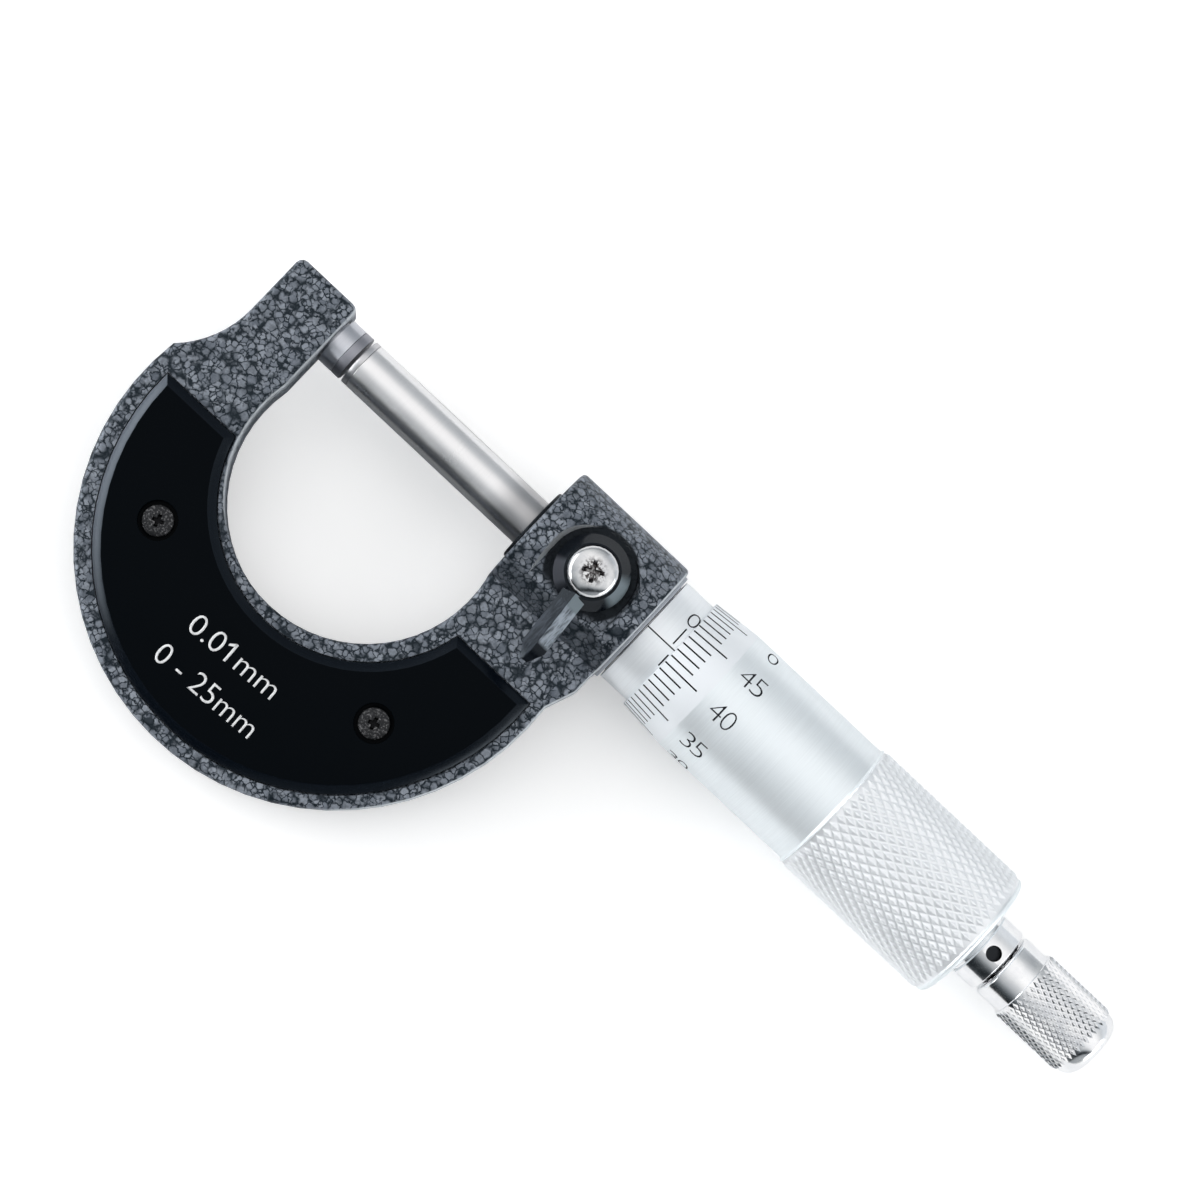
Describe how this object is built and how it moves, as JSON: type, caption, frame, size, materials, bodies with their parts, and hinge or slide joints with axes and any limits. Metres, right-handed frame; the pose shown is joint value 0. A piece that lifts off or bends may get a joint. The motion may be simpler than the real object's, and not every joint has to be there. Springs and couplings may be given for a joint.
{
  "type": "outside micrometer",
  "caption": "Outside micrometer, 0 to 25 mm: C-shaped frame with cover plates, anvil, screw spindle, graduated thimble, ratchet knob and lever lock.",
  "frame": {"origin": "middle of the rear plate's flat face, halfway between its inner and outer edges on the ring's centre line", "axes": "+X along the spindle from the anvil to the ratchet, +Y from the ring up to the spindle, +Z out of the front face, the one with the lock lever and the scale"},
  "size_m": [0.1416, 0.0599, 0.0207],
  "materials": {
    "hammertone_paint": "hammertone enamel",
    "black_plate": "satin black",
    "black_oxide_steel": "black oxide",
    "black_lacquer": "gloss black",
    "ground_steel": "ground",
    "carbide": "lapped",
    "satin_chrome": "satin",
    "polished_chrome": "polished",
    "brass": "turned"
  },
  "bodies": {
    "frame": {"frame": "hammertone_paint", "anvil": "ground_steel", "anvil_tip": "carbide", "front_plate": "black_plate", "rear_plate": "black_plate", "front_plate_screw_left": "black_oxide_steel", "front_plate_screw_right": "black_oxide_steel", "rear_plate_screw_left": "black_oxide_steel", "rear_plate_screw_right": "black_oxide_steel", "spindle_nut": "ground_steel", "adjusting_nut": "ground_steel", "scale_sleeve": "satin_chrome", "lock_pad": "brass"},
    "spindle_slide": {"spindle_tip": "carbide"},
    "spindle_turn": {"spindle": "ground_steel", "thimble": "satin_chrome", "ratchet_body": "polished_chrome", "ratchet_screw": "ground_steel"},
    "ratchet": {"ratchet_knob": "polished_chrome", "ratchet_click_plate": "ground_steel", "ratchet_spring": "ground_steel"},
    "lock": {"lock_stud": "ground_steel", "lock_lever": "black_lacquer", "lock_lever_screw": "polished_chrome"}
  },
  "joints": [
    {"name": "spindle_travel", "type": "slide", "parent": "frame", "child": "spindle_slide", "axis": [1, 0, 0], "range_m": [-0.00041, 0.02459]},
    {"name": "thimble_turn", "type": "hinge", "parent": "spindle_slide", "child": "spindle_turn", "pos_m": [-0.01398, 0.03971, 0.0048], "axis": [1, 0, 0], "range_deg": [-295.3, 17705]},
    {"name": "ratchet_turn", "type": "hinge", "parent": "spindle_turn", "child": "ratchet", "pos_m": [0.0937, 0.03971, 0.0048], "axis": [1, 0, 0], "continuous": true},
    {"name": "lock_turn", "type": "hinge", "parent": "frame", "child": "lock", "pos_m": [0.02465, 0.03971, 0.0048], "axis": [0, 0, 1], "range_deg": [-30, 30]}
  ],
  "couplings": [
    {"joint": "thimble_turn", "follows": "spindle_travel", "rad_per_m": 12566}
  ]
}
